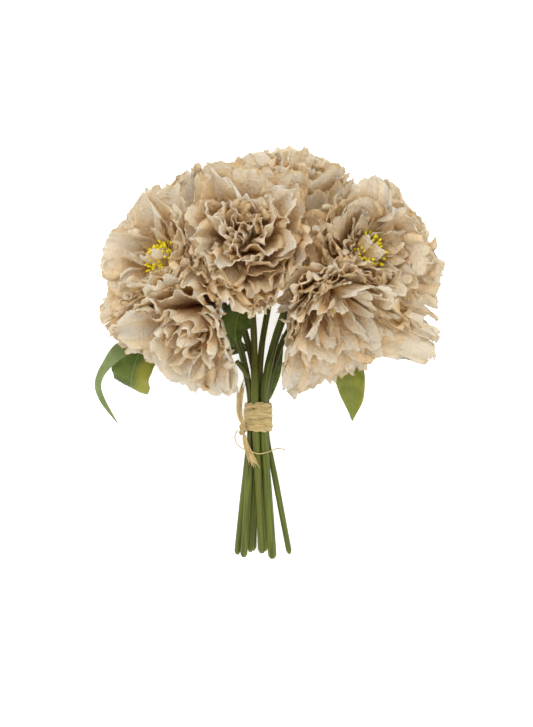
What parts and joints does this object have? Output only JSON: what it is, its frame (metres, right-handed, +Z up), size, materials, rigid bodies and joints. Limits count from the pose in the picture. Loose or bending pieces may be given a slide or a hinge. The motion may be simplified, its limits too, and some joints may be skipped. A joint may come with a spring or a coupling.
{
  "type": "bunch of peonies",
  "caption": "Tied bunch of full double peonies with crinkled cream and beige petals, green stems and leaves and a raffia tie, lying on its side.",
  "frame": {"origin": "on the table under the middle of the whole bunch as it lies", "axes": "+Y along the table from the cut stem ends towards the flowers, +Z up from the table, +X to the right when looking along +Y"},
  "size_m": [0.2722, 0.3184, 0.1781],
  "materials": {
    "guard_petals": "matte crinkled cloth, cream with tan edges",
    "inner_petals": "matte crinkled cloth, cream with golden tan edges and brown bases",
    "stamens": "matte, bright yellow tips on pale threads",
    "calyx": "satin green, veined",
    "stem": "satin olive green, ribbed, paler cut ends",
    "leaf": "satin green with paler veins and yellow-green patches",
    "raffia": "dry straw-coloured fibre, streaked"
  },
  "bodies": {
    "root": {"left_peony_stem": "stem", "left_peony_calyx": "calyx", "left_peony_guard_petals": "guard_petals", "left_peony_inner_petals": "inner_petals", "left_peony_stamens": "stamens", "right_peony_stem": "stem", "right_peony_calyx": "calyx", "right_peony_guard_petals": "guard_petals", "right_peony_inner_petals": "inner_petals", "right_peony_stamens": "stamens", "front_peony_stem": "stem", "front_peony_calyx": "calyx", "front_peony_guard_petals": "guard_petals", "front_peony_inner_petals": "inner_petals", "front_peony_stamens": "stamens", "low_left_peony_stem": "stem", "low_left_peony_calyx": "calyx", "low_left_peony_guard_petals": "guard_petals", "low_left_peony_inner_petals": "inner_petals", "low_left_peony_stamens": "stamens", "low_right_peony_stem": "stem", "low_right_peony_calyx": "calyx", "low_right_peony_guard_petals": "guard_petals", "low_right_peony_inner_petals": "inner_petals", "low_right_peony_stamens": "stamens", "top_peony_stem": "stem", "top_peony_calyx": "calyx", "top_peony_guard_petals": "guard_petals", "top_peony_inner_petals": "inner_petals", "top_peony_stamens": "stamens", "back_left_peony_stem": "stem", "back_left_peony_calyx": "calyx", "back_left_peony_guard_petals": "guard_petals", "back_left_peony_inner_petals": "inner_petals", "back_left_peony_stamens": "stamens", "back_right_peony_stem": "stem", "back_right_peony_calyx": "calyx", "back_right_peony_guard_petals": "guard_petals", "back_right_peony_inner_petals": "inner_petals", "back_right_peony_stamens": "stamens", "leaf_long_left": "leaf", "leaf_broad_left": "leaf", "leaf_right": "leaf", "leaf_middle": "leaf", "leaf_stem_right": "leaf", "leaf_back": "leaf", "leaf_shoot_left": "stem", "leaf_shoot_right": "stem", "cut_side_shoot": "stem", "tie_band": "raffia", "tie_knot": "raffia", "tie_tail_up": "raffia", "tie_tail_down": "raffia", "tie_fibre": "raffia"}
  },
  "joints": []
}
